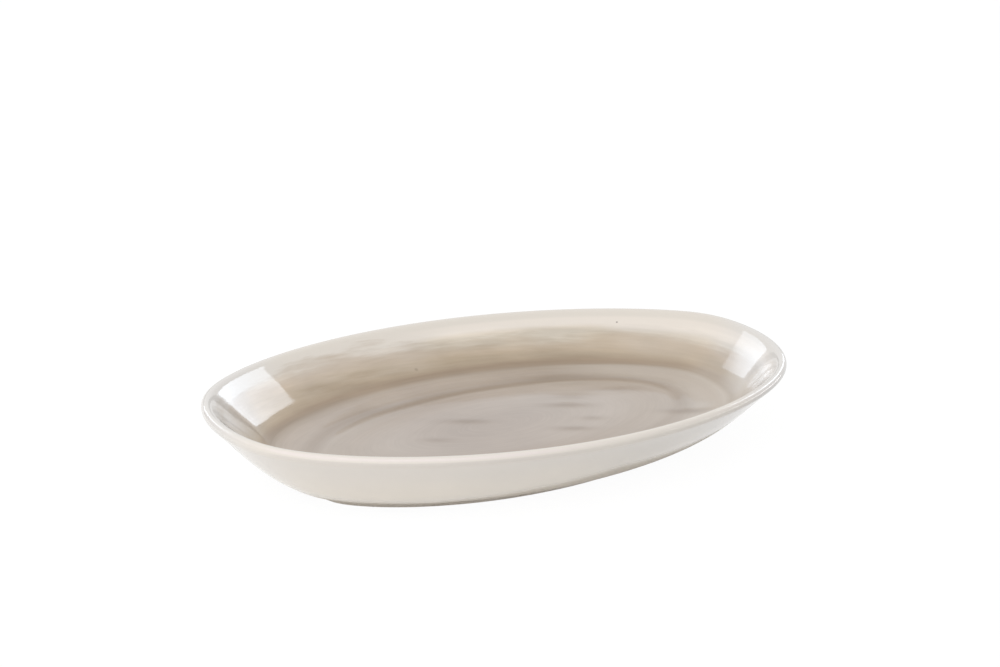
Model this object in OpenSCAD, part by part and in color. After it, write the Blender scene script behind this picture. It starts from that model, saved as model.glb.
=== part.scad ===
// Oval stoneware serving platter
// A wall ring and a foot ring are joined to a flat slab with slip, and five
// glaze coats cover all but the foot. Millimetres, +Z up, long axis along X.
// The origin is in the middle of the table surface that the foot stands on.

/* [Overall] */
// Length over the rim, along X
length = 350; // [280:1:440]
// Width over the rim, along Y
width = 248; // [210:1:300]
// Height from the table to the top of the rim
height = 41; // [32:0.5:60]

/* [Wall] */
// Thickness of the rounded rim, with its glaze
rim_t = 6; // [4:0.5:9]
// How far the outside of the wall leans in between the rim and the slab
wall_run = 23.5; // [14:0.5:32]
// Thickness of the clay wall where it stands on the slab, measured level
wall_t = 7; // [4:0.5:12]

/* [Slab] */
// Thickness of the slab in the middle
slab_t = 8.5; // [5:0.5:14]
// Level run of the slab's turned-under edge, from the wall to the foot
turn_run = 24.5; // [15:0.5:35]
// Rise of the well's sloping border, from its middle to the wall
border_rise = 2; // [0.5:0.5:5]
// Width of that border, from the wall to the turned ring
border_w = 26; // [15:1:35]
// Width of the ring that is turned into the well
ring_w = 4; // [2:0.5:8]
// Depth of that ring
ring_d = 0.5; // [0.2:0.1:1.5]

/* [Foot] */
// Height of the foot
foot_h = 4.5; // [2:0.5:10]
// Width of the foot where it joins the slab
foot_w = 9; // [5:0.5:15]
// How far the foot's outer face leans in towards the table
foot_lean = 1; // [0:0.1:2]
// Bevel along both edges of the face that the foot rests on
foot_bevel = 0.8; // [0.2:0.1:1.5]

/* [Glaze] */
// Thickness of each glaze coat
glaze_t = 0.8; // [0.4:0.1:1.5]
// Width of the cream band on the inside of the wall, from the rim's round
band_w = 8; // [4:0.5:16]

/* [Hidden] */
$fn = 180;

// Sizes lie on a fine grid, so that neighbouring arcs meet exactly
GRID = 0.001;
function on_grid(x) = GRID * round(x / GRID);

// Four-centre oval
// An arc at each end and one along each side meet on the line through their
// two centres, which runs 3 along for every 4 across. An inset oval has the
// same centres and smaller radii, so every profile below keeps its true
// thickness all the way round.
half_l = on_grid(length / 2);
oval_unit = on_grid((length - width) / 4);
half_w = half_l - 2 * oval_unit;
end_x = 3 * oval_unit;
side_y = 4 * oval_unit;
end_r = half_l - end_x;
side_r = half_w + side_y;
join_angle = atan2(4, 3);
// How far each arc runs past the axis where it is cut off, in degrees
OVERRUN = 5;

// Profile of the clay
// Its points are [inset, height], with the inset measured level from the rim's
// outermost line.
rim_r = rim_t / 2;
well_z = foot_h + slab_t;
joint_z = well_z + border_rise;
foot_inset = wall_run + turn_run;
well_inset = wall_run + wall_t;
ring_inset = well_inset + border_w;
foot_inner = foot_inset + foot_w;
// The swept pieces end in the flat middle, and what fills it reaches over them
FLAT_W = 4;
flat_inset = max(ring_inset + ring_w / 2, foot_inner) + FLAT_W;
fill_inset = flat_inset - FLAT_W / 2;

rim_centre = [rim_r, height - rim_r];
outer_joint = [wall_run, joint_z];
inner_joint = [well_inset, joint_z];
foot_corner = [foot_inset, foot_h];
turn_middle = [wall_run + turn_run / 2, foot_h];

// The wall leans from the rim towards the middle of its joint with the slab,
// and runs on into the slab's turned edge.
lean = (outer_joint + inner_joint) / 2 - rim_centre;
wall_dir = lean / norm(lean);
wall_out = [wall_dir.y, -wall_dir.x];
turn_dir = (turn_middle - outer_joint) / norm(turn_middle - outer_joint);
handle = norm(lean) / 3;

rim_clay_r = rim_r - glaze_t;
rim_start = rim_centre + rim_clay_r * wall_out;
rim_end = rim_centre - rim_clay_r * wall_out;
out_angle = atan2(wall_out.y, wall_out.x);

// Number of straight steps along each stretch
TURN_N = 6;
WALL_N = 6;
RIM_N = 12;
BAND_N = 3;
WASH_N = 6;
BORDER_N = 4;

function bezier3(a, b, c, d, t) =
    pow(1 - t, 3) * a + 3 * pow(1 - t, 2) * t * b + 3 * (1 - t) * t * t * c + t * t * t * d;
function bezier2(a, b, c, t) =
    (1 - t) * (1 - t) * a + 2 * (1 - t) * t * b + t * t * c;
function turned_edge(t) = bezier2(foot_corner, turn_middle, outer_joint, t);
function outer_wall(t) = bezier3(outer_joint, outer_joint - handle * turn_dir,
                                 rim_start + handle * wall_dir, rim_start, t);
function inner_wall(t) = bezier3(rim_end, rim_end + handle * wall_dir,
                                 inner_joint - handle * turn_dir, inner_joint, t);
function rim_round(t) = let (angle = out_angle - 180 * t)
    rim_centre + rim_clay_r * [cos(angle), sin(angle)];
function border(t) = [well_inset + t * (border_w - ring_w / 2),
                      well_z + border_rise * (1 - t) * (1 - t)];

band_end = band_w / norm(inner_joint - rim_end);

// The clay's surface in one line, from the foot over the rim to the flat middle
clay = concat(
    [for (k = [0 : TURN_N - 1]) turned_edge(k / TURN_N)],
    [for (k = [0 : WALL_N - 1]) outer_wall(k / WALL_N)],
    [for (k = [0 : RIM_N - 1]) rim_round(k / RIM_N)],
    [for (k = [0 : BAND_N - 1]) inner_wall(band_end * k / BAND_N)],
    [for (k = [0 : WASH_N - 1]) inner_wall(band_end + (1 - band_end) * k / WASH_N)],
    [for (k = [0 : BORDER_N]) border(k / BORDER_N)],
    [[ring_inset, well_z - ring_d], [ring_inset + ring_w / 2, well_z], [flat_inset, well_z]]
);
AT_JOINT = TURN_N;
AT_RIM = AT_JOINT + WALL_N;
AT_BAND = AT_RIM + RIM_N + BAND_N;
AT_WELL = AT_BAND + WASH_N;
AT_FLAT = len(clay) - 1;

// The glaze's surface: each clay point moved out by the coat's thickness,
// straight from the rim's centre on its round, and elsewhere square to the two
// steps that meet there
function step_normal(k) = let (d = clay[k + 1] - clay[k]) [-d.y, d.x] / norm(d);
function coat_shift(a, b) = glaze_t * (a + b) / (1 + a * b);
function glazed(k) = k >= AT_RIM && k <= AT_RIM + RIM_N
    ? rim_centre + (clay[k] - rim_centre) * rim_r / rim_clay_r
    : clay[k] + coat_shift(step_normal(k - 1), step_normal(k));
glaze = concat(
    [foot_corner - [0, glaze_t]],
    [for (k = [1 : AT_FLAT - 1]) glazed(k)],
    [clay[AT_FLAT] + [0, glaze_t]]
);

function stretch(line, first, last) = [for (k = [first : last]) line[k]];
function reversed(line) = [for (k = [len(line) - 1 : -1 : 0]) line[k]];
function coat(first, last) =
    concat(stretch(glaze, first, last), reversed(stretch(clay, first, last)));

// An arc of a profile of [inset, height] points, starting on the +X axis
module arc(profile, radius, angle) {
    rotate_extrude(angle = angle)
        polygon([for (p = profile) [radius - on_grid(p.x), on_grid(p.y)]]);
}

// A quarter of a swept piece. Its two arcs start on the line where they meet,
// about that line's own end centre, and are cut off along both axes.
module quarter(profile) {
    intersection() {
        translate([end_x, 0, 0])
            rotate(join_angle) {
                arc(profile, end_r, -join_angle - OVERRUN);
                translate([end_r - side_r, 0, 0])
                    arc(profile, side_r, 90 - join_angle + OVERRUN);
            }
        translate([0, 0, -height])
            cube([length, length, 3 * height]);
    }
}

module half(profile) {
    quarter(profile);
    mirror([1, 0, 0]) quarter(profile);
}

// Carries a profile once round the oval
module sweep(profile) {
    half(profile);
    mirror([0, 1, 0]) half(profile);
}

// Fills the middle of a swept piece between two heights, out to a given inset
module fill(inset, low, high) {
    quarter = [
        for (t = [0 : 0.1 : 1]) let (a = t * join_angle)
            [end_x, 0] + (end_r - inset) * [cos(a), sin(a)],
        for (t = [0.1 : 0.1 : 1]) let (a = join_angle + t * (90 - join_angle))
            [0, -side_y] + (side_r - inset) * [cos(a), sin(a)]
    ];
    half = concat(quarter, reversed([for (p = quarter) [-p.x, p.y]]));
    translate([0, 0, low])
        linear_extrude(high - low)
            polygon(concat(half, reversed([for (p = half) [p.x, -p.y]])));
}

// Flared clay wall, standing on the slab's edge
module wall_ring() {
    color("#cbb6a0")
        sweep(stretch(clay, AT_JOINT, AT_WELL));
}

// Clay floor with a turned-under edge and a shallow ring in its top
module base_slab() {
    color("#c4ae97") {
        sweep(concat(stretch(clay, 0, AT_JOINT), stretch(clay, AT_WELL, AT_FLAT),
                     [[flat_inset, foot_h]]));
        fill(fill_inset, foot_h, well_z);
    }
}

// Bare ring that the platter stands on
module foot_ring() {
    toe = foot_inset + foot_lean;
    color("#b59f88")
        sweep([foot_corner, [toe, foot_bevel], [toe + foot_bevel, 0],
               [foot_inner - foot_bevel, 0], [foot_inner, foot_bevel], [foot_inner, foot_h]]);
}

// Cream coat on the outside, from the foot to the rim
module outer_glaze() {
    color("#e3d6c6")
        sweep(coat(0, AT_RIM));
}

// Pale coat over the rim and down the top of the inside
module rim_glaze() {
    color("#eee4d9")
        sweep(coat(AT_RIM, AT_BAND));
}

// Taupe wash on the rest of the inside wall
module wall_wash() {
    color("#a89082")
        sweep(coat(AT_BAND, AT_WELL));
}

// Lilac-grey coat of the well
module well_glaze() {
    color("#b9aaa4") {
        sweep(coat(AT_WELL, AT_FLAT));
        fill(fill_inset, well_z, well_z + glaze_t);
    }
}

// Cream coat inside the foot
module underside_glaze() {
    low = foot_h - glaze_t;
    color("#e3d6c6") {
        sweep([[foot_inner, low], [foot_inner, foot_h], [flat_inset, foot_h], [flat_inset, low]]);
        fill(fill_inset, low, foot_h);
    }
}

wall_ring();
base_slab();
foot_ring();
outer_glaze();
rim_glaze();
wall_wash();
well_glaze();
underside_glaze();
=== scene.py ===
# %% [markdown]
# # An oval stoneware platter
# The real platter is a clay slab with a flared wall and a low foot, glazed
# cream outside and brushed taupe inside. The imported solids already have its
# pieces and sizes. This lesson makes each piece again as a smooth surface with
# the small unevenness of hand work, and gives it its glaze.

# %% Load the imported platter
from collections import namedtuple
from math import comb, radians

import bpy
import numpy as np
from mathutils import Matrix, Vector


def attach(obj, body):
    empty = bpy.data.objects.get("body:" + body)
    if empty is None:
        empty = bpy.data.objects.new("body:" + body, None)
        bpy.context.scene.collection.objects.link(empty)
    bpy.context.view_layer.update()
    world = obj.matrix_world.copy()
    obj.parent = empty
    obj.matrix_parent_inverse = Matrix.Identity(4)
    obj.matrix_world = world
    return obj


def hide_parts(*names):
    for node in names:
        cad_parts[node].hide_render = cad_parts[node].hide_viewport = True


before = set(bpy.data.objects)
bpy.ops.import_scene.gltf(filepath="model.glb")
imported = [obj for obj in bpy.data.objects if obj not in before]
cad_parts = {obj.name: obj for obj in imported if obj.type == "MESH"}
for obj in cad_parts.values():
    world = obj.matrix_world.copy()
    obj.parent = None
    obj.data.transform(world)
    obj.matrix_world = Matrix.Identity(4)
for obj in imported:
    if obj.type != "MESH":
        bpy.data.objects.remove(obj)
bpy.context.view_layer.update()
print("nodes:", sorted(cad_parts))

# %% [markdown]
# ## The sizes
# These are the sizes of the part's source, in millimetres. Only the turned ring
# is wider and shallower here, a soft dip. A length measured level from the
# rim's outermost line towards the middle is called a reach. All the lines of
# the platter's section are points of reach and height.

# %% Sizes
MM = 0.001
LENGTH, WIDTH, HEIGHT = 350.0, 248.0, 41.0
RIM_T = 6.0
WALL_RUN, WALL_T = 23.5, 7.0
SLAB_T, TURN_RUN = 8.5, 24.5
BORDER_RISE, BORDER_W = 2.0, 26.0
RING_W, RING_D = 14.0, 0.25
FOOT_H, FOOT_W, FOOT_LEAN = 4.5, 9.0, 1.0
GLAZE_T, BAND_W = 0.8, 8.0

WELL_Z = FOOT_H + SLAB_T
JOINT_Z = WELL_Z + BORDER_RISE
FOOT_REACH = WALL_RUN + TURN_RUN
WELL_REACH = WALL_RUN + WALL_T
RING_REACH = WELL_REACH + BORDER_W
# Past this reach the floor is flat
MIDDLE_REACH = 68.0
print("well at", WELL_Z, "mm, ring at a reach of", RING_REACH, "mm")

# %% [markdown]
# ## The camera
# The camera could be placed by eye. Here both outlines, the front lip, the
# well's edge and the ring were fitted together, which gives the turn of the
# platter and the pitch. They do not fix the lens and the distance, which were
# chosen to go with them. The camera looks past a point a little above the
# platter, so no lens shift is needed.

# %% Camera
LENS, SENSOR, DISTANCE = 86.4, 36, 1.337
TURN, PITCH = radians(34.7), radians(16.3)
AIM_RIGHT, AIM_UP = -0.0014, 0.0626

right = Vector((np.cos(TURN), -np.sin(TURN), 0))
away = Vector((np.sin(TURN), np.cos(TURN), 0))
forward = away * np.cos(PITCH) - Vector((0, 0, np.sin(PITCH)))
upward = away * np.sin(PITCH) + Vector((0, 0, np.cos(PITCH)))

camera = bpy.data.objects.new("camera", bpy.data.cameras.new("camera"))
camera.data.lens = LENS
camera.data.sensor_width = SENSOR
stand = right * AIM_RIGHT + upward * AIM_UP - forward * DISTANCE
camera.matrix_world = (Matrix.Translation(stand)
                       @ Matrix((right, upward, -forward)).transposed().to_4x4())
bpy.context.scene.collection.objects.link(camera)
bpy.context.scene.camera = camera
print("camera at", [round(v, 3) for v in camera.location])

# %% [markdown]
# ## Nodes in few words
# A material is a small graph. One helper adds a node and fills its inputs:
# a number is set on the socket, and another node's output is linked to it.

# %% Node helpers
def node(tree, kind, inputs=None, **settings):
    """Adds a node, sets its settings, and sets or links each of its inputs."""
    made = tree.nodes.new("ShaderNode" + kind)
    for name, value in settings.items():
        setattr(made, name, value)
    for name, value in (inputs or {}).items():
        if isinstance(value, bpy.types.NodeSocket):
            tree.links.new(value, made.inputs[name])
        else:
            made.inputs[name].default_value = value
    return made


def calc(tree, operation, a, b=0.0):
    """One step of arithmetic on two values."""
    return node(tree, "Math", {0: a, 1: b}, operation=operation).outputs[0]


# %% [markdown]
# ## Floor and light
# The platter stands on a white table in front of white paper. The paper is the
# world, and is plain white where the camera or a reflection looks at it. Two
# soft boxes behind, left and right, draw the bright patches in the ends of the
# wall, and a third above draws the line of light along the rim. A large one in
# front lights the outside and is kept out of the gloss. A low strip on the
# right does the opposite: it lights nothing and only draws a thin line in the
# gloss of the lip. Lamps with a size are used, because a glaze shows the shape
# of its lamps. Two grey cards, one far behind and one on the left, give the
# gloss something darker than paper to mirror. The table throws back less light
# on the right, where the outside of the platter is darker.

# %% World
scene = bpy.context.scene
scene.view_settings.view_transform = "Standard"
ROOM_LIGHT = 0.8
WHITE = (1, 1, 1, 1)


def looked_at(tree):
    """1 for rays that come from the camera, a reflection or a glass, else 0:
    the largest of the three."""
    path = node(tree, "LightPath").outputs
    seen = calc(tree, "MAXIMUM", path["Is Camera Ray"], path["Is Glossy Ray"])
    return calc(tree, "MAXIMUM", seen, path["Is Transmission Ray"])


world = bpy.data.worlds.new("white_paper")
world.use_nodes = True
scene.world = world
tree = world.node_tree
tree.nodes.clear()
room = node(tree, "Background", {"Color": WHITE, "Strength": ROOM_LIGHT})
paper = node(tree, "Background", {"Color": WHITE, "Strength": 1.0})
shown = node(tree, "MixShader", {0: looked_at(tree), 1: room.outputs[0], 2: paper.outputs[0]})
node(tree, "OutputWorld", {"Surface": shown.outputs[0]})
print("room light", ROOM_LIGHT)

# %% Floor
FLOOR_HALF = 4.0
# Share of light thrown back at the middle, and at this many metres to its right
BOUNCE_LEFT, BOUNCE_RIGHT, BOUNCE_RUN = 0.92, 0.48, 0.30
# Where it is looked at, the table glows almost white and shows faint shadows
GLOW, SHADOW_SHARE = 0.96, 0.06

table = bpy.data.meshes.new("table")
table.from_pydata([(-FLOOR_HALF, -FLOOR_HALF, 0), (FLOOR_HALF, -FLOOR_HALF, 0),
                   (FLOOR_HALF, FLOOR_HALF, 0), (-FLOOR_HALF, FLOOR_HALF, 0)], [], [(0, 1, 2, 3)])
floor = bpy.data.objects.new("table", table)
scene.collection.objects.link(floor)

white = bpy.data.materials.new("white_table")
white.use_nodes = True
tree = white.node_tree
tree.nodes.clear()
place = node(tree, "TexCoord").outputs["Object"]
place = node(tree, "VectorMath", {0: place, 1: right}, operation="DOT_PRODUCT").outputs["Value"]
bounce = node(tree, "MapRange", {"Value": place, "From Min": 0.0, "From Max": BOUNCE_RUN,
                                 "To Min": BOUNCE_LEFT, "To Max": BOUNCE_RIGHT})
plain = node(tree, "BsdfDiffuse", {"Color": bounce.outputs[0]})
faint = node(tree, "BsdfDiffuse", {"Color": (SHADOW_SHARE, SHADOW_SHARE, SHADOW_SHARE, 1)})
glow = node(tree, "Emission", {"Color": WHITE, "Strength": GLOW})
lit = node(tree, "AddShader", {0: faint.outputs[0], 1: glow.outputs[0]})
shown = node(tree, "MixShader", {0: looked_at(tree), 1: plain.outputs[0], 2: lit.outputs[0]})
node(tree, "OutputMaterial", {"Surface": shown.outputs[0]})
table.materials.append(white)
print("table throws back", BOUNCE_LEFT, "to", BOUNCE_RIGHT, "of the light")

# %% Soft boxes
COOL = (0.80, 0.89, 1.0)


def soft_box(name, bearing, height, distance, size, watts, roll=0.0, aim=(0, 0, 0.03),
             colour=(1, 1, 1)):
    """A rectangular lamp at a bearing from the camera's line of sight, to the
    right, and at an angle above the table. It faces a point, and its longer
    side is rolled up from level. All angles are in degrees."""
    turn, rise, roll = radians(bearing), radians(height), radians(roll)
    flat = away * np.cos(turn) + right * np.sin(turn)
    level = right * np.cos(turn) - away * np.sin(turn)
    toward = flat * np.cos(rise) + Vector((0, 0, np.sin(rise)))
    over = Vector((0, 0, np.cos(rise))) - flat * np.sin(rise)
    along = level * np.cos(roll) + over * np.sin(roll)
    across = level * np.sin(roll) - over * np.cos(roll)
    lamp = bpy.data.lights.new(name, "AREA")
    lamp.shape = "RECTANGLE"
    lamp.size, lamp.size_y = size
    lamp.energy = watts
    lamp.color = colour
    placed = bpy.data.objects.new(name, lamp)
    placed.matrix_world = (Matrix.Translation(Vector(aim) + toward * distance)
                           @ Matrix((along, across, toward)).transposed().to_4x4())
    placed.visible_camera = False
    scene.collection.objects.link(placed)
    return placed


soft_box("box_right", bearing=36.7, height=23.9, distance=1.6, size=(0.85, 0.21), watts=2.15,
         roll=47.4, aim=(-0.122, 0.071, 0.03), colour=COOL)
soft_box("box_left", bearing=-44.1, height=21.4, distance=1.6, size=(0.69, 0.22), watts=1.08,
         roll=-43.7, aim=(0.158, -0.02, 0.03), colour=COOL)
soft_box("box_above", bearing=180, height=50, distance=1.5, size=(1.2, 0.35), watts=1.5)
strip = soft_box("strip_right", bearing=70, height=2.5, distance=1.0, size=(1.15, 0.10), watts=1.4,
                 aim=(0.06, -0.10, 0.04))
strip.visible_diffuse = False
front = soft_box("box_front", bearing=-138, height=36, distance=1.6, size=(1.8, 1.0), watts=8.0)
front.visible_glossy = False

# %% Cards
def card(name, middle, along, length, high, shade):
    """An upright grey card, which the gloss alone sees. It reaches half its
    length to either side of its middle."""
    half, lift = along * length / 2, Vector((0, 0, high))
    near, far = middle - half, middle + half
    sheet = bpy.data.meshes.new(name)
    sheet.from_pydata([near, far, far + lift, near + lift], [], [(0, 1, 2, 3)])
    paint = bpy.data.materials.new(name)
    paint.use_nodes = True
    paint.node_tree.nodes.clear()
    matt = node(paint.node_tree, "BsdfDiffuse", {"Color": (shade, shade, shade, 1)})
    node(paint.node_tree, "OutputMaterial", {"Surface": matt.outputs[0]})
    sheet.materials.append(paint)
    stood = bpy.data.objects.new(name, sheet)
    stood.visible_camera = stood.visible_diffuse = stood.visible_shadow = False
    scene.collection.objects.link(stood)
    print("%s: from %.2f to %.2f m above the table" % (name, middle.z, middle.z + high))


far_behind = away * 3.0 - right * 0.45 + Vector((0, 0, 0.40))
card("card_behind", far_behind, right, length=3.5, high=0.35, shade=0.55)
card("card_left", right * -0.6, away, length=1.2, high=0.25, shade=0.4)

# %% [markdown]
# ## The outline
# Seen from above the platter is an oval. An ellipse could be drawn from its
# points, but then a line at an even distance inside it is hard to find. A
# support function makes that easy: for each direction that the edge can face,
# it gives how far the edge lies out in that direction. To move the whole edge
# in by a reach, the reach is taken off. Small waves are added for the hand.

# %% Outline
AROUND = 360
facing = np.arange(AROUND) * 2 * np.pi / AROUND

# How many waves go round, how high they are in mm, and where they start
RIM_WAVES = ((2, 0.7, 10), (3, 0.7, 0), (4, 1.3, 155), (6, 0.55, 125))
TOP_WAVES = ((0, 0.5, 0), (1, 0.5, 235), (2, 1.0, 25), (3, 0.6, 10))
FOOT_WAVES = ((1, 3.4, -135), (2, 0.8, 95), (3, 0.5, -10))
WELL_WAVES = ((1, 3.5, -20), (2, 1.1, -60))
RING_WAVES = ((0, -1.4, 0), (1, 4.0, -108), (2, 1.4, 82), (3, 0.6, 119))


def waves(kinds):
    """Sum of cosines round the oval, and its slope: each wave is its height
    times the cosine of its count times the facing, less its start."""
    angles = [(count, size, count * facing - radians(start)) for count, size, start in kinds]
    return (sum(size * np.cos(angle) for _, size, angle in angles),
            sum(-count * size * np.sin(angle) for count, size, angle in angles))


def oval():
    """Support of an ellipse, the root of (half length times cosine) squared
    plus (half width times sine) squared, and its slope."""
    a, b = LENGTH / 2, WIDTH / 2
    out = np.sqrt((a * np.cos(facing)) ** 2 + (b * np.sin(facing)) ** 2)
    return out, (b * b - a * a) * np.sin(facing) * np.cos(facing) / out


def ease(x, low, high):
    """0 below low, 1 above high, and 3 t squared less 2 t cubed between."""
    t = np.clip((x - low) / (high - low), 0, 1)
    return t * t * (3 - 2 * t)


print("waves on the rim: %.1f mm at most" % np.abs(waves(RIM_WAVES)[0]).max())

# %% [markdown]
# ## The section
# The section of the wall is one line, from the foot up the outside, over the
# rim and down into the well. Straight steps would show in the gloss, so the
# turned edge and the two sides of the wall are Bezier curves, the rim is half a
# circle, and the crease at the foot of the wall is softened by averaging
# neighbouring points. The glaze is the same line moved out by its thickness.

# %% Control points
# Points on each curve, on the rim's round and on the turned ring
CURVE_POINTS, ROUND_POINTS, RING_POINTS = 80, 60, 40


def bezier(*points, count=CURVE_POINTS):
    """Each control point's share is its binomial weight at t."""
    t = np.linspace(0, 1, count)[:, None]
    last = len(points) - 1
    return sum(comb(last, k) * (1 - t) ** (last - k) * t ** k * p for k, p in enumerate(points))


rim_r = RIM_T / 2
rim_centre = np.array([rim_r, HEIGHT - rim_r])
outer_joint = np.array([WALL_RUN, JOINT_Z])
inner_joint = np.array([WELL_REACH, JOINT_Z])
foot_corner = np.array([FOOT_REACH, FOOT_H])
turn_middle = np.array([WALL_RUN + TURN_RUN / 2, FOOT_H])
lean = (outer_joint + inner_joint) / 2 - rim_centre
handle = np.linalg.norm(lean) / 3
wall_dir = lean / np.linalg.norm(lean)
wall_out = np.array([wall_dir[1], -wall_dir[0]])
turn_dir = (turn_middle - outer_joint) / np.linalg.norm(turn_middle - outer_joint)
rim_clay = (rim_r - GLAZE_T) * wall_out
rim_start, rim_end = rim_centre + rim_clay, rim_centre - rim_clay
print("the wall leans in %.1f mm for %.1f mm down" % (lean[0], -lean[1]))

# %% Section
turned_edge = bezier(foot_corner, turn_middle, outer_joint)
outer_wall = bezier(outer_joint, outer_joint - handle * turn_dir,
                    rim_start + handle * wall_dir, rim_start)
round_angle = np.arctan2(wall_out[1], wall_out[0]) - np.linspace(0, np.pi, ROUND_POINTS)
rim_round = rim_centre + (rim_r - GLAZE_T) * np.c_[np.cos(round_angle), np.sin(round_angle)]
inner_wall = bezier(rim_end, rim_end + handle * wall_dir,
                    inner_joint - handle * turn_dir, inner_joint)
t = np.linspace(0, 1, CURVE_POINTS)
border = np.c_[WELL_REACH + t * (BORDER_W - RING_W / 2), WELL_Z + BORDER_RISE * (1 - t) ** 2]
t = np.linspace(-1, 1, RING_POINTS)
ring = np.c_[RING_REACH + t * RING_W / 2, WELL_Z - RING_D * (1 + np.cos(np.pi * t)) / 2]
flat = np.array([[MIDDLE_REACH, WELL_Z]])

sections = [turned_edge, outer_wall, rim_round, inner_wall, border, ring, flat]
marks = np.concatenate(sections)
along = np.append(0, np.cumsum(np.linalg.norm(np.diff(marks, axis=0), axis=1)))
ends = along[np.cumsum([len(s) for s in sections]) - 1]
AT_JOINT, AT_RIM, AT_INSIDE, AT_WELL, _, _, AT_MIDDLE = ends
AT_BAND = AT_INSIDE + BAND_W

STEP = 0.25
fine = np.arange(0, AT_MIDDLE, STEP)
clay_line = np.stack([np.interp(fine, along, marks[:, k]) for k in (0, 1)], 1)
print("section: %.0f mm from foot to middle, %d fine steps" % (AT_MIDDLE, len(fine)))

# %% Soft crease and glaze
# Width in mm of the softening at the crease and at the rim's inner shoulder, and
# how many steps to either side go into each average
CREASE, SHOULDER, NEIGHBOURS = 4.5, 1.2, 60


def soften(line, width, share):
    """Mixes a line with its average under a bell curve of the given width."""
    spread = np.arange(-NEIGHBOURS, NEIGHBOURS + 1)
    weights = np.exp(-0.5 * (spread * STEP / width) ** 2)
    weights /= weights.sum()
    longer = np.pad(line, ((NEIGHBOURS, NEIGHBOURS), (0, 0)), mode="edge")
    smooth = np.stack([np.convolve(longer[:, k], weights, "valid") for k in (0, 1)], 1)
    return line + (smooth - line) * share[:, None]


# Where each is at work, by the distance along the line in mm
at_crease = 1 - ease(np.abs(fine - AT_WELL), 8, 18)
past_rim = fine - AT_INSIDE
at_shoulder = ease(past_rim, -4, -1) * (1 - ease(past_rim, 4, 10))
clay_line = soften(clay_line, CREASE, at_crease)
clay_line = soften(clay_line, SHOULDER, at_shoulder)
slope = np.gradient(clay_line, axis=0)
normal = np.c_[-slope[:, 1], slope[:, 0]] / np.linalg.norm(slope, axis=1)[:, None]
glaze_line = clay_line + GLAZE_T * normal
print("top of the glaze: %.1f mm" % glaze_line[:, 1].max())


def stretch(line, start, end, count):
    """Even points along a line, between two distances from its foot."""
    at = np.linspace(start, min(end, fine[-1]), count)
    return np.stack([np.interp(at, fine, line[:, k]) for k in (0, 1)], 1)


# %% [markdown]
# ## Carrying a section round the outline
# Each point of a section becomes one closed loop round the oval. The outside
# and the inside of the platter have slightly different waves, as the wall was
# pressed by hand, so each point also says which side it is on. Inside the
# turned ring the loops shrink to one point in the middle.

# %% Carry
def carry(points, inside, shrink=None):
    """Loops of points in mm. A loop's support is the oval's, with its waves,
    less the reach. A point lies out by the support along its facing, and
    sideways by the support's slope."""
    reach, height = points[:, :1], points[:, 1:]
    inside = np.broadcast_to(inside, len(points))[:, None]
    low = np.clip(reach / FOOT_REACH, 0, 1) ** 2 * (1 - inside)
    deep = ease(reach, WELL_REACH, RING_REACH) * inside
    wall = ease(reach, rim_r, WELL_REACH) * inside - deep
    out, side = oval()
    for share, kinds in ((1 - deep, RIM_WAVES), (low, FOOT_WAVES),
                         (wall, WELL_WAVES), (deep, RING_WAVES)):
        size, slant = waves(kinds)
        out, side = out + share * size, side + share * slant
    out = out - reach
    shrink = np.ones(len(points))[:, None] if shrink is None else shrink[:, None]
    lift = waves(TOP_WAVES)[0] * (height / HEIGHT * shrink) ** 2
    return np.stack([shrink * (out * np.cos(facing) - side * np.sin(facing)),
                     shrink * (out * np.sin(facing) + side * np.cos(facing)),
                     height + lift], -1)


def inside_of_rim(reach):
    """0 on the outside of the rim, 1 on its inside, and eased over its crest."""
    return ease(reach, 1.0, rim_r)


# %% [markdown]
# ## From loops to a mesh
# A piece with a hole, such as the rim's glaze, is a closed tube: its last loop
# joins its first. A piece without one, such as the slab, starts and ends in a
# single point. Both are laid out as whole arrays of corners. If the volume
# comes out negative the faces point inwards, and are turned round.

# %% Mesh
# Edges that turn by more than this many degrees stay sharp
SHARP = 50
# Cubic mm in a cubic cm
CM3 = 1000.0


def note(mesh, name, values):
    """Writes one number for each corner of a mesh, for a material to read."""
    kept = mesh.attributes.new(name, "FLOAT", "POINT")
    kept.data.foreach_set("value", np.ravel(values).astype(np.float32))


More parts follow.
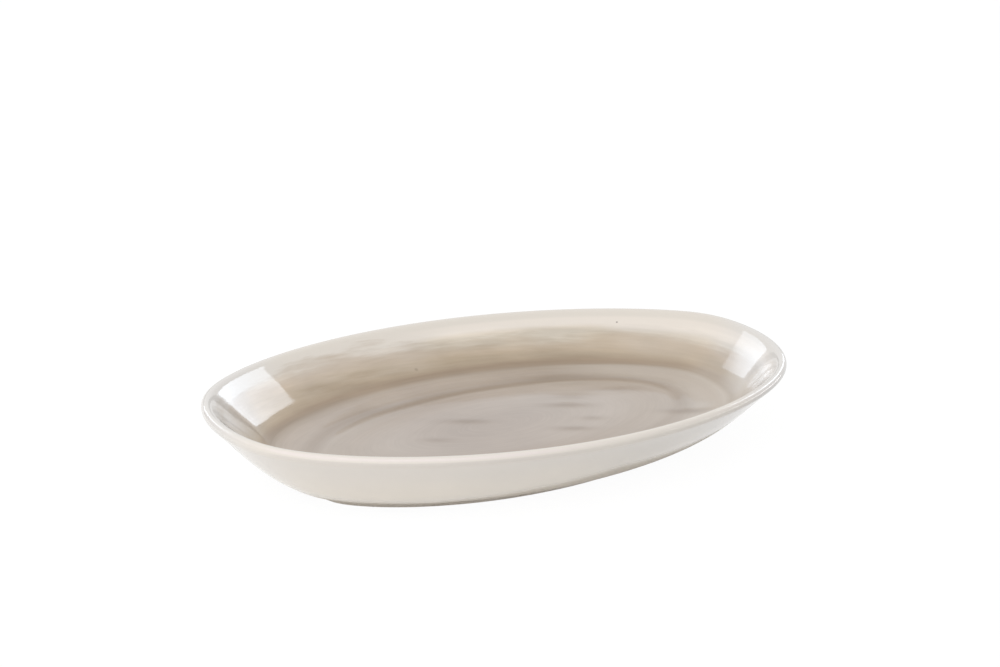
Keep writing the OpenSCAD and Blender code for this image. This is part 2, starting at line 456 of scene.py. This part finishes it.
def piece(name, node_name, loops, reach, poles=False):
    """A closed mesh from loops. Corner indices are row times AROUND plus place,
    and each face joins a place to the next in its own row and the next row. The
    volume is a sixth of each triangle's corners' triple product, added up."""
    rows = len(loops)
    place = np.arange(AROUND)
    after = (place + 1) % AROUND
    upper = np.arange(rows - 1 if poles else rows)[:, None] * AROUND
    lower = (upper + AROUND) % (rows * AROUND)
    quads = np.stack([upper + place, upper + after, lower + after, lower + place], -1)
    faces = [quads.reshape(-1, 4)]
    corners = loops.reshape(-1, 3)
    depth = np.repeat(reach, AROUND)
    if poles:
        first, last = len(corners), len(corners) + 1
        corners = np.concatenate([corners, loops[[0, -1]].mean(1)])
        depth = np.append(depth, reach[[0, -1]])
        base = (rows - 1) * AROUND
        faces += [np.stack([after, place, np.full(AROUND, first)], 1),
                  np.stack([base + place, base + after, np.full(AROUND, last)], 1)]
    volume = 0.0
    for f in faces:
        for k in range(1, f.shape[1] - 1):
            turned = np.cross(corners[f[:, k]], corners[f[:, k + 1]])
            volume += np.einsum("ij,ij->", corners[f[:, 0]], turned) / 6
    if volume < 0:
        faces = [f[:, ::-1] for f in faces]
    mesh = bpy.data.meshes.new(name)
    mesh.from_pydata((corners * MM).tolist(), [], [c for f in faces for c in f.tolist()])
    note(mesh, "reach", depth * MM)
    mesh.shade_smooth()
    mesh.set_sharp_from_angle(angle=radians(SHARP))
    made = bpy.data.objects.new(name, mesh)
    scene.collection.objects.link(made)
    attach(made, "root")
    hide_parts(node_name)
    print("%s: %d corners, %.1f cm3" % (name, len(corners), abs(volume) / CM3))
    return made


def coat(start, end, count):
    """A glaze coat's section: its outer face, then the clay face, backwards."""
    return np.concatenate([stretch(glaze_line, start, end, count),
                           stretch(clay_line, start, end, count)[::-1]])


# %% [markdown]
# ## The glazes
# All the inside is one dip of cream glaze with a taupe wash brushed over it, so
# one recipe colours every inside piece and the colours meet without a seam. It
# reads the reach of each point: cream at the rim, wash that thickens down the
# wall, a dark line in the crease, then the well with its turned ring, whose
# brown is partly glaze gathered in it and partly painted shade of its groove.
# The brush went round with the wheel, so its streaks come from a noise that is
# stretched along the oval, by mixing place and reach as its input. The wash is
# not even: stretches of it are thin and pale, or loaded and brown. They could
# be painted on a picture. Here each is a few smooth steps along the platter,
# across it and in reach, multiplied together, so it has no pixels. The pale
# colour in the two ends is partly a painted reflection, and the rim carries a
# painted highlight and painted shade.

# %% Colours
CREAM = (0.74, 0.69, 0.625, 1)
# The inside at each reach in mm: cream, thin wash, thick wash, the crease, the
# border, the turned ring and the middle
INSIDE = ((5, CREAM), (11, CREAM),
          (13.5, (0.64, 0.575, 0.50, 1)), (16, (0.58, 0.50, 0.417, 1)),
          (20, (0.533, 0.447, 0.358, 1)), (24, (0.483, 0.40, 0.306, 1)),
          (28, (0.416, 0.33, 0.237, 1)), (31, (0.332, 0.248, 0.171, 1)),
          (34, (0.308, 0.231, 0.158, 1)), (37.5, (0.374, 0.302, 0.234, 1)),
          (41, (0.405, 0.332, 0.27, 1)), (48, (0.405, 0.338, 0.28, 1)),
          (60, (0.352, 0.287, 0.232, 1)), (75, (0.352, 0.282, 0.225, 1)),
          (95, (0.39, 0.325, 0.276, 1)), (148, (0.373, 0.309, 0.263, 1)))
VEIL = (0.70, 0.65, 0.59, 1)
# Pale colour of the ends: partly thin wash, partly a painted reflection of the light there
PALE_END_AND_REFLECTION = (0.82, 0.79, 0.75, 1)
# Brown of the turned ring, partly painted shade of its groove, and of the tool's marks
RING_BROWN = (0.22, 0.16, 0.11, 1)
SPECK = (0.08, 0.055, 0.04, 1)
# These multiply the colour under them
# Cooler tone of the ends, partly painted reflection
COOL_END_AND_REFLECTION = (0.98, 1.01, 1.06, 1)
BRIGHT_BAND = (1.09, 1.08, 1.08, 1)
WASH_LOADED = (0.91, 0.88, 0.82, 1)
WASH_WARM = (1.0, 0.965, 0.91, 1)
WASH_SPENT = (1.12, 1.11, 1.09, 1)
# Painted highlight on the rim's crest, and painted shade under it and towards the inside
LIP_PAINTED_HIGHLIGHT = (1.045, 1.02, 1.065, 1)
LIP_PAINTED_SHADE = (0.89, 0.885, 0.90, 1)
# The outside: low on the wall, lighter with painted light thrown up from the
# table; high on the wall; and where it was wiped, darker partly with painted
# shade where the wall turns under
WALL_LOW_BOUNCE_LIT = (0.81, 0.75, 0.665, 1)
WALL_HIGH = (0.72, 0.672, 0.615, 1)
WIPED_AND_SHADE = (0.66, 0.60, 0.52, 1)
print("bands of the inside:", len(INSIDE))

# %% Steps and mixes
def new_material(name):
    """An empty material, and its graph."""
    made = bpy.data.materials.new(name)
    made.use_nodes = True
    made.node_tree.nodes.clear()
    return made, made.node_tree


def blend(tree, share, a, b, how="MIX"):
    """Mixes two colours by a share from 0 to 1."""
    made = node(tree, "Mix", {0: share, 6: a, 7: b},
                data_type="RGBA", blend_type=how, clamp_factor=True)
    return made.outputs[2]


def product(tree, first, *others):
    """All the values multiplied together."""
    for other in others:
        first = calc(tree, "MULTIPLY", first, other)
    return first


def total(tree, first, *others):
    """All the values added up."""
    for other in others:
        first = calc(tree, "ADD", first, other)
    return first


def climb(tree, value, low, high, to_low=0.0, to_high=1.0):
    """A smooth step from one value to another while the input climbs."""
    return node(tree, "MapRange", {"Value": value, "From Min": low, "From Max": high,
                                   "To Min": to_low, "To Max": to_high},
                interpolation_type="SMOOTHSTEP").outputs[0]


def rise(tree, length, low, high, to_low=0.0, to_high=1.0):
    """The same step, between two lengths in mm."""
    return climb(tree, length, low * MM, high * MM, to_low, to_high)


def fall(tree, length, low, high):
    """A smooth step from 1 down to 0, between two lengths in mm."""
    return rise(tree, length, low, high, 1.0, 0.0)


def between(tree, length, start, full, fades, gone):
    """A step up times a step down: 1 between two of four lengths in mm, and 0
    outside the other two."""
    return product(tree, rise(tree, length, start, full), fall(tree, length, fades, gone))


# %% Places and noise
Spot = namedtuple("Spot", "where along across up reach")


def look_up(tree):
    """What a glaze goes by: the point itself, its place along, across and up,
    and its reach."""
    where = node(tree, "TexCoord").outputs["Object"]
    along, across, up = node(tree, "SeparateXYZ", {0: where}).outputs
    reach = node(tree, "Attribute", attribute_name="reach").outputs["Fac"]
    return Spot(where, along, across, up, reach)


def noise(tree, where, scale, detail=3.0, rough=0.55):
    """Soft noise about 0.5, with so many swells to the metre."""
    return node(tree, "TexNoise", {"Vector": where, "Scale": scale, "Detail": detail,
                                   "Roughness": rough}).outputs[0]


def streaks(tree, spot, along_scale, across_scale, detail, slant):
    """Noise whose grain runs round the oval: level place is scaled little and
    reach is scaled a lot. A slant lets the strokes climb as they go along."""
    climbed = total(tree, spot.reach, product(tree, spot.along, slant))
    mixed = node(tree, "CombineXYZ", {0: product(tree, spot.along, along_scale),
                                      1: product(tree, spot.across, along_scale),
                                      2: product(tree, climbed, across_scale)})
    return noise(tree, mixed.outputs[0], 1.0, detail, 0.6)


# %% Gloss and specks
# Place of each iron speck in mm, its size and how strongly it shows
SPECKS = ((131.1, 67.6, 34.3, 0.8, 0.55), (4.0, 94.5, 19.8, 1.5, 0.22))
# Swells of the fired surface to the metre, slow and fine, and how much of the
# fine ones goes in
SWELL, SKIN, SKIN_SHARE = 38.0, 420.0, 0.03
RIPPLE, GLASS_IOR = 0.12 * MM, 1.5
# Roughness goes from low to high by clouds, so many to the metre, and gains a
# share where the glaze was wiped
ROUGH_LOW, ROUGH_HIGH, ROUGH_CLOUDS, ROUGH_WIPED = 0.035, 0.08, 22.0, 0.6


def specks(tree, where, colour):
    """The iron specks that came through the glaze: a dark dot round each place."""
    for x, y, z, size, strength in SPECKS:
        far = node(tree, "VectorMath", {0: where, 1: (x * MM, y * MM, z * MM)},
                   operation="DISTANCE").outputs["Value"]
        dot = rise(tree, far, 0.4 * size, size, strength, 0.0)
        colour = blend(tree, dot, colour, SPECK)
    return colour


def glassy(tree, colour, where, matt=None):
    """Glossy finish over a colour, with the slow ripple of a fired surface. A
    share of matt makes it rough where the glaze was sponged thin."""
    skin = product(tree, noise(tree, where, SKIN, 2.0), SKIN_SHARE)
    height = total(tree, noise(tree, where, SWELL, 2.0), skin)
    bump = node(tree, "Bump", {"Height": height, "Strength": 1.0, "Distance": RIPPLE})
    gloss = climb(tree, noise(tree, where, ROUGH_CLOUDS), 0.3, 0.7, ROUGH_LOW, ROUGH_HIGH)
    if matt is not None:
        gloss = total(tree, gloss, product(tree, matt, ROUGH_WIPED))
    shader = node(tree, "BsdfPrincipled", {"Base Color": colour, "Roughness": gloss,
                                           "IOR": GLASS_IOR, "Normal": bump.outputs[0]})
    node(tree, "OutputMaterial", {"Surface": shader.outputs[0]})


# %% Bands and strokes
# Grain of each brush along and across, its detail and its slant
BRUSH = (14.0, 150.0, 4.0, -0.03)
BROAD = (9.0, 95.0, 2.0, -0.05)
HAIRS = (40.0, 600.0, 2.0, -0.03)
# Clouds of thicker and thinner wash to the metre
WASH_CLOUDS = 17.0
# The bands run over this reach in mm, and sway this far on the wall and the floor
BANDS_END, WALL_SWAY, FLOOR_SWAY = 150.0, 20.0, 4.0
# On the wall they also lie this far up at one end and down at the other, in mm
SLIDE_UP, SLIDE_DOWN = 2.0, -4.0


def bands(tree, spot):
    """The plain colour at each reach, where the reach is first swayed by slow
    streaks and slid along the wall."""
    brushed = calc(tree, "SUBTRACT", streaks(tree, spot, *BRUSH), 0.5)
    sway = product(tree, brushed,
                   rise(tree, spot.reach, 22, 30, WALL_SWAY * MM, FLOOR_SWAY * MM))
    slide = product(tree, rise(tree, spot.along, -70, 70, SLIDE_UP * MM, SLIDE_DOWN * MM),
                    fall(tree, spot.reach, 22, 29))
    place = calc(tree, "DIVIDE", total(tree, spot.reach, sway, slide), BANDS_END * MM)
    ramp = node(tree, "ValToRGB", {0: place})
    stops = ramp.color_ramp.elements
    while len(stops) < len(INSIDE):
        stops.new(1.0)
    for stop, (at, colour) in zip(stops, INSIDE):
        stop.position, stop.color = at / BANDS_END, colour
    return ramp.outputs[0]


def strokes(tree, spot):
    """How light the wash is, as a grey: a slow cloud, broad strokes that show
    most on the wall, and fine hairs, multiplied together."""
    cloud = climb(tree, noise(tree, spot.where, WASH_CLOUDS), 0.3, 0.7, 0.95, 1.06)
    broad = calc(tree, "SUBTRACT", streaks(tree, spot, *BROAD), 0.5)
    broad = product(tree, broad, rise(tree, spot.reach, 32, 40, 0.52, 0.12))
    hairs = climb(tree, streaks(tree, spot, *HAIRS), 0.25, 0.75, 0.97, 1.03)
    shade = product(tree, cloud, calc(tree, "ADD", 1.0, broad), hairs)
    return node(tree, "CombineColor", {0: shade, 1: shade, 2: shade}).outputs[0]


# %% Ring and thin wash
# In the middle of the length the painted ring lies this far in, in mm, and is
# fainter by a share
RING_IN, RING_FAINTER = 3.5, 0.25


def ring_pool_and_shade(tree, spot, colour):
    """Brown in the turned ring, partly glaze gathered in it and partly a painted
    shade of its groove: most at the back, and less at the right end."""
    midway = between(tree, spot.along, -55, -30, 45, 75)
    inward = calc(tree, "SUBTRACT", spot.reach, product(tree, midway, RING_IN * MM))
    line = between(tree, inward, 44, 54, 57.5, 62.5)
    faint = calc(tree, "SUBTRACT", 1.0, product(tree, midway, RING_FAINTER))
    to_back = total(tree, spot.across, product(tree, spot.along, 0.3))
    # Painted shade of the groove and glaze gathered in it, stronger towards the back
    stronger_to_back = rise(tree, to_back, -40, 70, 0.12, 0.68)
    at_end = rise(tree, spot.along, 65, 100, 1.0, 0.55)
    return blend(tree, product(tree, line, faint, stronger_to_back, at_end), colour, RING_BROWN)


def thin_wash(tree, spot, washed, colour):
    """Cream that shows through thin wash: at the right end on the wall, in the
    crease and on the border, and faintly on both halves of the middle."""
    along, across, reach = spot.along, spot.across, spot.reach
    on_wall = product(tree, rise(tree, along, 100, 138, 0.0, 0.28),
                      rise(tree, across, 0, 25, 0.5, 1.0), rise(tree, reach, 26, 36, 1.0, 0.25))
    in_crease = product(tree, between(tree, reach, 26, 30, 36, 42),
                        rise(tree, along, 105, 130, 0.0, 0.19), fall(tree, across, 0, 25))
    on_border = product(tree, rise(tree, along, 70, 115, 0.0, 0.32),
                        between(tree, reach, 34, 38, 48, 58))
    right_half = product(tree, rise(tree, along, -20, 90, 0.0, 0.15), rise(tree, reach, 52, 64))
    left_half = product(tree, rise(tree, along, -90, -30, 0.15, 0.0), rise(tree, reach, 52, 62))
    veil = total(tree, on_wall, in_crease, on_border, right_half, left_half)
    return blend(tree, product(tree, veil, washed), colour, VEIL)


# %% Ends and back wall
# Direction of the line between the two pale ends, along and across the platter
SIDE_ALONG, SIDE_ACROSS = 0.822, -0.569


def pale_and_reflected_ends(tree, spot, washed, colour):
    """Pale colour in the two ends, partly thin wash and partly a painted reflection
    of the light there, and a cooler tone there, partly painted reflection too, by
    the place on the line between them: a share of the place along plus one of
    that across."""
    side = total(tree, product(tree, spot.along, SIDE_ALONG),
                 product(tree, spot.across, SIDE_ACROSS))
    left_end = product(tree, rise(tree, side, -150, -128, 0.8, 0.0),
                       fall(tree, spot.across, 38, 55))
    right_end = product(tree, rise(tree, side, 122, 146, 0.0, 0.55),
                        fall(tree, spot.across, -20, -5))
    # Pale colour, partly thin wash and partly a painted reflection of the light in the ends; the
    # cooler tone below is partly painted reflection too
    pale = product(tree, total(tree, left_end, right_end), washed)
    colour = blend(tree, pale, colour, PALE_END_AND_REFLECTION)
    ends = rise(tree, calc(tree, "ABSOLUTE", side), 120, 150)
    return blend(tree, ends, colour, COOL_END_AND_REFLECTION, "MULTIPLY")


def uneven_wall(tree, spot, colour):
    """Stretches of the wall: a brighter cream band towards the right, a loaded
    brush on the back, a spent one to the left of it, and a warm right end."""
    along, across, reach = spot.along, spot.across, spot.reach
    band = product(tree, between(tree, reach, 7, 9, 12.5, 15.5), rise(tree, along, -10, 50))
    colour = blend(tree, band, colour, BRIGHT_BAND, "MULTIPLY")
    back = product(tree, between(tree, reach, 11, 14, 24, 29), rise(tree, across, 30, 50))
    loaded = product(tree, back, between(tree, along, 0, 30, 115, 135))
    colour = blend(tree, loaded, colour, WASH_LOADED, "MULTIPLY")
    spent = product(tree, back, between(tree, along, -125, -115, -90, -70))
    colour = blend(tree, spent, colour, WASH_SPENT, "MULTIPLY")
    end = product(tree, between(tree, reach, 13, 17, 31, 37),
                  rise(tree, along, 105, 130), rise(tree, across, 0, 20))
    return blend(tree, end, colour, WASH_WARM, "MULTIPLY")


# %% Inside glaze
MARK_SHARE = 0.65


def marks_and_lip_light(tree, colour):
    """Brown on the tool's marks in the well, and on the rim a painted highlight on
    the crest and painted shade under it and towards the inside. A piece without
    these two numbers reads 0 and stays as it is."""
    worn = node(tree, "Attribute", attribute_name="mark").outputs["Fac"]
    colour = blend(tree, product(tree, worn, MARK_SHARE), colour, RING_BROWN)
    lip_painted_light = node(tree, "Attribute", attribute_name="lip_painted_light").outputs["Fac"]
    # Painted highlight on the crest, and painted shade under it and towards the inside
    colour = blend(tree, climb(tree, lip_painted_light, 0.0, 1.0), colour, LIP_PAINTED_HIGHLIGHT, "MULTIPLY")
    return blend(tree, climb(tree, lip_painted_light, -1.0, 0.0, 1.0, 0.0), colour, LIP_PAINTED_SHADE, "MULTIPLY")


def inside_glaze(name):
    """The recipe of every inside piece, one layer over another."""
    made, tree = new_material(name)
    spot = look_up(tree)
    washed = rise(tree, spot.reach, 9, 14)
    colour = blend(tree, washed, bands(tree, spot), strokes(tree, spot), "MULTIPLY")
    colour = ring_pool_and_shade(tree, spot, colour)
    colour = thin_wash(tree, spot, washed, colour)
    colour = pale_and_reflected_ends(tree, spot, washed, colour)
    colour = uneven_wall(tree, spot, colour)
    colour = marks_and_lip_light(tree, colour)
    glassy(tree, specks(tree, spot.where, colour), spot.where)
    return made


rim_glaze = inside_glaze("rim_glaze")
taupe_wash = inside_glaze("taupe_wash")
well_glaze = inside_glaze("well_glaze")
print("inside glazes:", rim_glaze.name, taupe_wash.name, well_glaze.name)

# %% [markdown]
# ## The outside glaze and the bare clay
# The outside is the same cream without the wash, lighter and warmer low on the
# wall with painted light thrown up from the table. Low down it was wiped with a
# sponge, so that it is thin and matt there, and darker partly with painted
# shade where the wall turns under. The wiped part could be a piece of its own,
# but a sponge leaves no sharp edge. So its edge is a smooth step in reach,
# moved about by a noise, and it lies higher towards the right. The bare clay is
# matt, with soft clouds and sandy grains. A colour alone would look like paper,
# so the grains are bumps too.

# %% Outside glaze
# How far the clouds move the warm tone of painted light low on the wall and the
# wiped edge, and how far that edge climbs towards the right, in mm
WARM_DRIFT, EDGE_DRIFT, EDGE_CLIMB = 20.0, 6.0, 11.0
CREAM_CLOUDS = 16.0
# A place round the front is the place along less this share of the place across
ROUND_SHARE = 0.69
WIPED_AND_SHADE_SHARE = 0.9


def outside_glaze(name):
    """Cream, lighter and warmer low on the wall with painted light thrown up from
    the table, and sponged thin and matt towards the foot, where it is darker
    partly with painted shade of the wall turning under."""
    made, tree = new_material(name)
    spot = look_up(tree)
    drift = calc(tree, "SUBTRACT", noise(tree, spot.where, CREAM_CLOUDS, 4.0), 0.5)
    warm = total(tree, spot.up, product(tree, drift, WARM_DRIFT * MM))
    # Lighter and warmer low on the wall: painted light thrown up from the table
    colour = blend(tree, rise(tree, warm, 10, 34), WALL_LOW_BOUNCE_LIT, WALL_HIGH)
    round_front = calc(tree, "SUBTRACT", spot.along, product(tree, spot.across, ROUND_SHARE))
    edge = total(tree, spot.reach, product(tree, drift, EDGE_DRIFT * MM),
                 rise(tree, round_front, -50, 80, 0.0, EDGE_CLIMB * MM))
    # Glaze sponged thin towards the foot, darker partly with painted shade where the wall turns
    # under
    wiped_and_shaded = product(tree, rise(tree, edge, 27, 37), fall(tree, spot.reach, 49, 51))
    colour = blend(tree, product(tree, wiped_and_shaded, WIPED_AND_SHADE_SHARE), colour, WIPED_AND_SHADE)
    glassy(tree, colour, spot.where, matt=wiped_and_shaded)
    return made


cream_glaze = outside_glaze("cream_glaze")
print("outside glaze:", cream_glaze.name)

# %% Bare clay
# Clouds and sandy grains to the metre, the height of a grain, and how dark it is
CLOUDS, GRAINS, GRAIN_HIGH, GRAIN_DARK = 30.0, 1400.0, 0.2 * MM, 0.6


def fired_clay(name, pale, dark, roughness):
    """Matt fired clay: soft clouds, sandy grains and a fine tooth."""
    made, tree = new_material(name)
    where = node(tree, "TexCoord").outputs["Object"]
    cloud = climb(tree, noise(tree, where, CLOUDS, 4.0), 0.3, 0.7)
    grain = noise(tree, where, GRAINS, 2.0)
    sand = tuple(GRAIN_DARK * c for c in dark[:3]) + (1,)
    colour = blend(tree, cloud, pale, dark)
    colour = blend(tree, climb(tree, grain, 0.62, 0.72, 0.0, 0.5), colour, sand)
    bump = node(tree, "Bump", {"Height": grain, "Strength": 0.5, "Distance": GRAIN_HIGH})
    shader = node(tree, "BsdfPrincipled", {"Base Color": colour, "Roughness": roughness,
                                           "Normal": bump.outputs[0]})
    node(tree, "OutputMaterial", {"Surface": shader.outputs[0]})
    return made


bare_clay = fired_clay("bare_clay", (0.86, 0.80, 0.72, 1), (0.80, 0.73, 0.65, 1), 0.75)
body_clay = fired_clay("clay", (0.62, 0.50, 0.39, 1), (0.54, 0.43, 0.33, 1), 0.85)
print("materials:", [m.name for m in bpy.data.materials])

# %% [markdown]
# ## The outside coat, the rim and the wash
# These three coats are tubes cut from the one section line, so each starts
# exactly where the last one ends. On the rim a highlight is painted on the
# crest, and shade under it and towards the inside, most on the front. Each tone
# could be a thin ring of its own, but the tones run into each other. So every
# corner of the rim gets one number from its angle round the rim's centre, and
# the glaze reads it.

# %% Rim
# The painted light at each angle round the rim's centre, counted in degrees from
# level outwards to straight up and on to the inside: 1 for the painted highlight
# on the crest, -1 for the darkest painted shade
LIP_LIGHT_AND_SHADE = ((-46, -0.33), (-19, -0.75), (0, -1.0), (3, -0.95), (12, -0.1), (18, 0.3), (31, 1.0),
       (42, 1.0), (53, 0.7), (66, 0.0), (83, -0.5), (107, -0.8), (134, -0.3), (150, 0.0))
# All of that shows on the front, which runs at this angle to the length, and a
# share of it elsewhere. Along the front the share goes by the place in mm
FRONT_TURN, LIP_ELSEWHERE = radians(34.7), 0.35
LIP_SHOWS = ((-125, LIP_ELSEWHERE), (-108, 1.0), (10, 1.0), (60, LIP_ELSEWHERE))


def lip_light_and_shade(section, loops):
    """The painted highlight and shade at each corner of the rim: the angle round
    the rim's centre gives the amount, and the place round the oval how much of
    it shows."""
    from_centre = section - rim_centre
    angle = np.degrees(np.arctan2(from_centre[:, 1], -from_centre[:, 0]))
    painted_light = np.interp(angle, *zip(*LIP_LIGHT_AND_SHADE))
    x, y = loops[..., 0], loops[..., 1]
    place = x * np.cos(FRONT_TURN) - y * np.sin(FRONT_TURN)
    behind = x * np.sin(FRONT_TURN) + y * np.cos(FRONT_TURN)
    on_front = 1 - ease(behind, -60, -20)
    shows = LIP_ELSEWHERE + (np.interp(place, *zip(*LIP_SHOWS)) - LIP_ELSEWHERE) * on_front
    return painted_light[:, None] * shows


# %% Outside, rim and wash
OUTER_ROWS, RIM_ROWS, WASH_ROWS = 80, 56, 60


def finish(made, material):
    """Gives a piece its material."""
    made.data.materials.append(material)
    return made


section = coat(0, AT_RIM, OUTER_ROWS)
outer_coat = piece("outer_coat", "outer_glaze", carry(section, 0.0), section[:, 0])
finish(outer_coat, cream_glaze)

section = coat(AT_RIM, AT_BAND, RIM_ROWS)
loops = carry(section, inside_of_rim(section[:, 0]))
rim_coat = piece("rim_coat", "rim_glaze", loops, section[:, 0])
# The rim's painted highlight and shade, for the glaze to read
note(rim_coat.data, "lip_painted_light", lip_light_and_shade(section, loops))
finish(rim_coat, rim_glaze)

section = coat(AT_BAND, AT_WELL, WASH_ROWS)
wash_coat = piece("wash_coat", "wall_wash", carry(section, 1.0), section[:, 0])
finish(wash_coat, taupe_wash)

# %% [markdown]
# ## The well
# The well is a disc: its border, the turned ring, and a flat middle that
# carries faint rings and a few short ridges that the tool left. Painted marks
# would not catch the light, so they are part of the surface. A ridge is long
# one way and narrow the other.

# %% Turning marks
RINGS, RING_PITCH = 0.007, 9.0
# Where the faint rings fade out towards the middle, in mm of reach
RINGS_FADE, RINGS_GONE = 110, 135
# Place along and across the platter, length, width and height, all in mm
MARKS = ((48, 5, 26, 9, 0.16), (59, 16, 22, 10, 0.09), (-15, 13, 26, 9, 0.16),
         (46, -22, 15, 8, 0.10), (27, -31, 22, 8, 0.14), (-46, -5, 18, 8, 0.10),
         (91, 11, 28, 9, 0.11), (97, -42, 26, 9, 0.15))
MARK_SLANT = radians(-34.7)


def ridges(loops):
    """Height of the marks: for each a bell curve of the distance along and
    across it."""
    lift = 0.0
    for x, y, length, width, height in MARKS:
        dx, dy = loops[..., 0] - x, loops[..., 1] - y
        down = dx * np.cos(MARK_SLANT) + dy * np.sin(MARK_SLANT)
        cross = dy * np.cos(MARK_SLANT) - dx * np.sin(MARK_SLANT)
        lift = lift + height * np.exp(-(down / length * 2) ** 2 - (cross / width * 2) ** 2)
    return lift


def turning(loops, reach):
    """Heights to add: a cosine of the reach in the flat middle, and the marks."""
    past_ring = reach - RING_REACH - RING_W
    flat_share = ease(past_ring, 0, 8) * (1 - ease(reach, RINGS_FADE, RINGS_GONE))
    sway = 0.6 + 0.4 * np.cos(2 * facing + 1)
    rings = flat_share * np.cos(2 * np.pi * reach / RING_PITCH)
    return RINGS * rings[:, None] * sway + ridges(loops)


# %% Well
MIDDLE_ROWS, WELL_ROWS = 64, 70
MIDDLE_SIZE = 80.0


def disc_rows(line, start, count):
    """Points from the middle out to a distance along a line, with how much
    each loop shrinks, and its reach counted on into the middle."""
    share = np.linspace(0, 1, MIDDLE_ROWS + 1)[1:-1]
    edge = stretch(line, start, AT_MIDDLE, count)[::-1]
    points = np.concatenate([np.tile(edge[0], (len(share), 1)), edge])
    shrink = np.append(share, np.ones(count))
    return points, shrink, points[:, 0] + (1 - shrink) * MIDDLE_SIZE


top, top_shrink, top_reach = disc_rows(glaze_line, AT_WELL, WELL_ROWS)
under, under_shrink, under_reach = disc_rows(clay_line, AT_WELL, WELL_ROWS)
section = np.concatenate([top, under[::-1]])
depth = np.append(top_reach, under_reach[::-1])
loops = carry(section, 1.0, np.append(top_shrink, under_shrink[::-1]))
loops[..., 2] += turning(loops, depth)
well_coat = piece("well_coat", "well_glaze", loops, depth, poles=True)
highest = max(height for *_, height in MARKS)
note(well_coat.data, "mark", np.append(ridges(loops).ravel() / highest, [0, 0]))
finish(well_coat, well_glaze)

# %% [markdown]
# ## The foot and the underside
# The foot is a low bare ring, wiped clean of glaze so that it does not stick to
# the kiln shelf. Its edges are rounded by the sponge. Inside it the underside
# has a thin coat of the cream.

# %% Foot
foot_inner = FOOT_REACH + FOOT_W
toe = FOOT_REACH + FOOT_LEAN
# How far the sponge rounded the edges, in mm, and the points on each stretch
SPONGED, FOOT_POINTS, INNER_POINTS = 1.4, 8, 6


def foot_line(*corners, count=FOOT_POINTS):
    """A straight line between two corners, or a Bezier curve past a third."""
    return bezier(*(np.array(corner, float) for corner in corners), count=count)


section = np.concatenate([
    foot_line((FOOT_REACH, FOOT_H), (toe, SPONGED))[:-1],
    foot_line((toe, SPONGED), (toe, 0), (toe + SPONGED, 0)),
    foot_line((toe + SPONGED, 0), (foot_inner - SPONGED, 0))[1:-1],
    foot_line((foot_inner - SPONGED, 0), (foot_inner, 0), (foot_inner, SPONGED)),
    foot_line((foot_inner, SPONGED), (foot_inner, FOOT_H), count=INNER_POINTS)[1:],
    foot_line((foot_inner, FOOT_H), (FOOT_REACH, FOOT_H), count=INNER_POINTS)[1:-1]])
foot = piece("foot", "foot_ring", carry(section, 0.0), section[:, 0])
finish(foot, bare_clay)

# %% Underside
UNDER_ROWS = 24
share = np.linspace(0, 1, UNDER_ROWS)[1:]
heights = np.repeat([FOOT_H - GLAZE_T, FOOT_H], len(share))
section = np.c_[np.full(len(heights), foot_inner), heights]
shrink = np.append(share, share[::-1])
depth = foot_inner + (1 - shrink) * MIDDLE_SIZE
underside = piece("underside", "underside_glaze", carry(section, 0.0, shrink), depth, poles=True)
finish(underside, cream_glaze)

# %% [markdown]
# ## The clay inside
# The clay is hidden by its coats, but it is made too, from the same clay line,
# so that the glaze lies on it everywhere.

# %% Wall
SIDE_ROWS, CREST_ROWS = 40, 20
outer_side = stretch(clay_line, AT_JOINT, AT_RIM, SIDE_ROWS)
crest = stretch(clay_line, AT_RIM, AT_INSIDE, CREST_ROWS)[1:]
inner_side = stretch(clay_line, AT_INSIDE, AT_WELL, SIDE_ROWS)[1:]
section = np.concatenate([outer_side, crest, inner_side])
inside = np.concatenate([np.zeros(len(outer_side)), inside_of_rim(crest[:, 0]),
                         np.ones(len(inner_side))])
wall = piece("wall", "wall_ring", carry(section, inside), section[:, 0])
finish(wall, body_clay)

# %% Slab
EDGE_ROWS, BASE_ROWS = 30, 24
edge = stretch(clay_line, 0, AT_JOINT, EDGE_ROWS)[::-1]
base_shrink = np.linspace(1, 0, BASE_ROWS)[1:-1]
section = np.concatenate([under, edge, np.tile(foot_corner, (len(base_shrink), 1))])
shrink = np.concatenate([under_shrink, np.ones(EDGE_ROWS), base_shrink])
inside = np.append(np.ones(len(under)), np.zeros(len(section) - len(under)))
depth = np.append(under_reach, section[len(under):, 0])
loops = carry(section, inside, shrink)
loops[:len(under), :, 2] += turning(loops[:len(under)], under_reach)
slab = piece("slab", "base_slab", loops, depth, poles=True)
finish(slab, body_clay)
